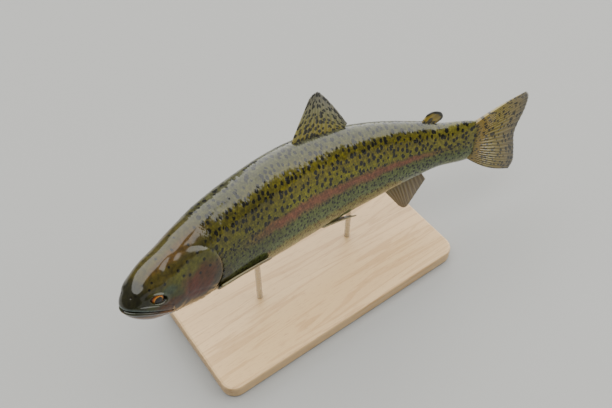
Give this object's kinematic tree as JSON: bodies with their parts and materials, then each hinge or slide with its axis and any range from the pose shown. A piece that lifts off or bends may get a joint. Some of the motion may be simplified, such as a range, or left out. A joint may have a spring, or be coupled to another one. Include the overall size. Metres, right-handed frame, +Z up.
{
  "type": "rainbow trout",
  "caption": "Life-size rainbow trout model, gently curved with the mouth closed, held over a wooden base by two short steel rods.",
  "frame": {"origin": "centre of the underside of the stand's base, which lies on the ground", "axes": "+Z up, -X towards the fish's head, -Y towards its left side"},
  "size_m": [0.3948, 0.11, 0.1855],
  "materials": {
    "body_skin": "wet olive skin with black spots, a faint pink stripe and fine scales under a clear gloss",
    "head_skin": "smooth wet dark olive-brown skin",
    "cheek_skin": "smooth wet skin, dull rose over olive silver",
    "eye": "clear glossy cornea over a golden iris and a black pupil",
    "fin_membrane": "thin spotted membrane between fine rays, slightly see-through",
    "maple": "satin clear lacquer over pale maple",
    "rod_steel": "brushed round bar"
  },
  "bodies": {
    "root": {"head": "head_skin", "lower_jaw": "head_skin", "upper_lip_left": "head_skin", "upper_lip_right": "head_skin", "gill_cover_left": "cheek_skin", "gill_cover_right": "cheek_skin", "eye_left": "eye", "eye_right": "eye", "trunk_front": "body_skin", "trunk_rear": "body_skin", "tail_stalk": "body_skin", "dorsal_fin": "fin_membrane", "adipose_fin": "fin_membrane", "anal_fin": "fin_membrane", "caudal_fin": "fin_membrane", "pectoral_fin_left": "fin_membrane", "pectoral_fin_right": "fin_membrane", "pelvic_fin_left": "fin_membrane", "pelvic_fin_right": "fin_membrane", "stand_base": "maple", "stand_rod_front": "rod_steel", "stand_rod_rear": "rod_steel"}
  },
  "joints": []
}
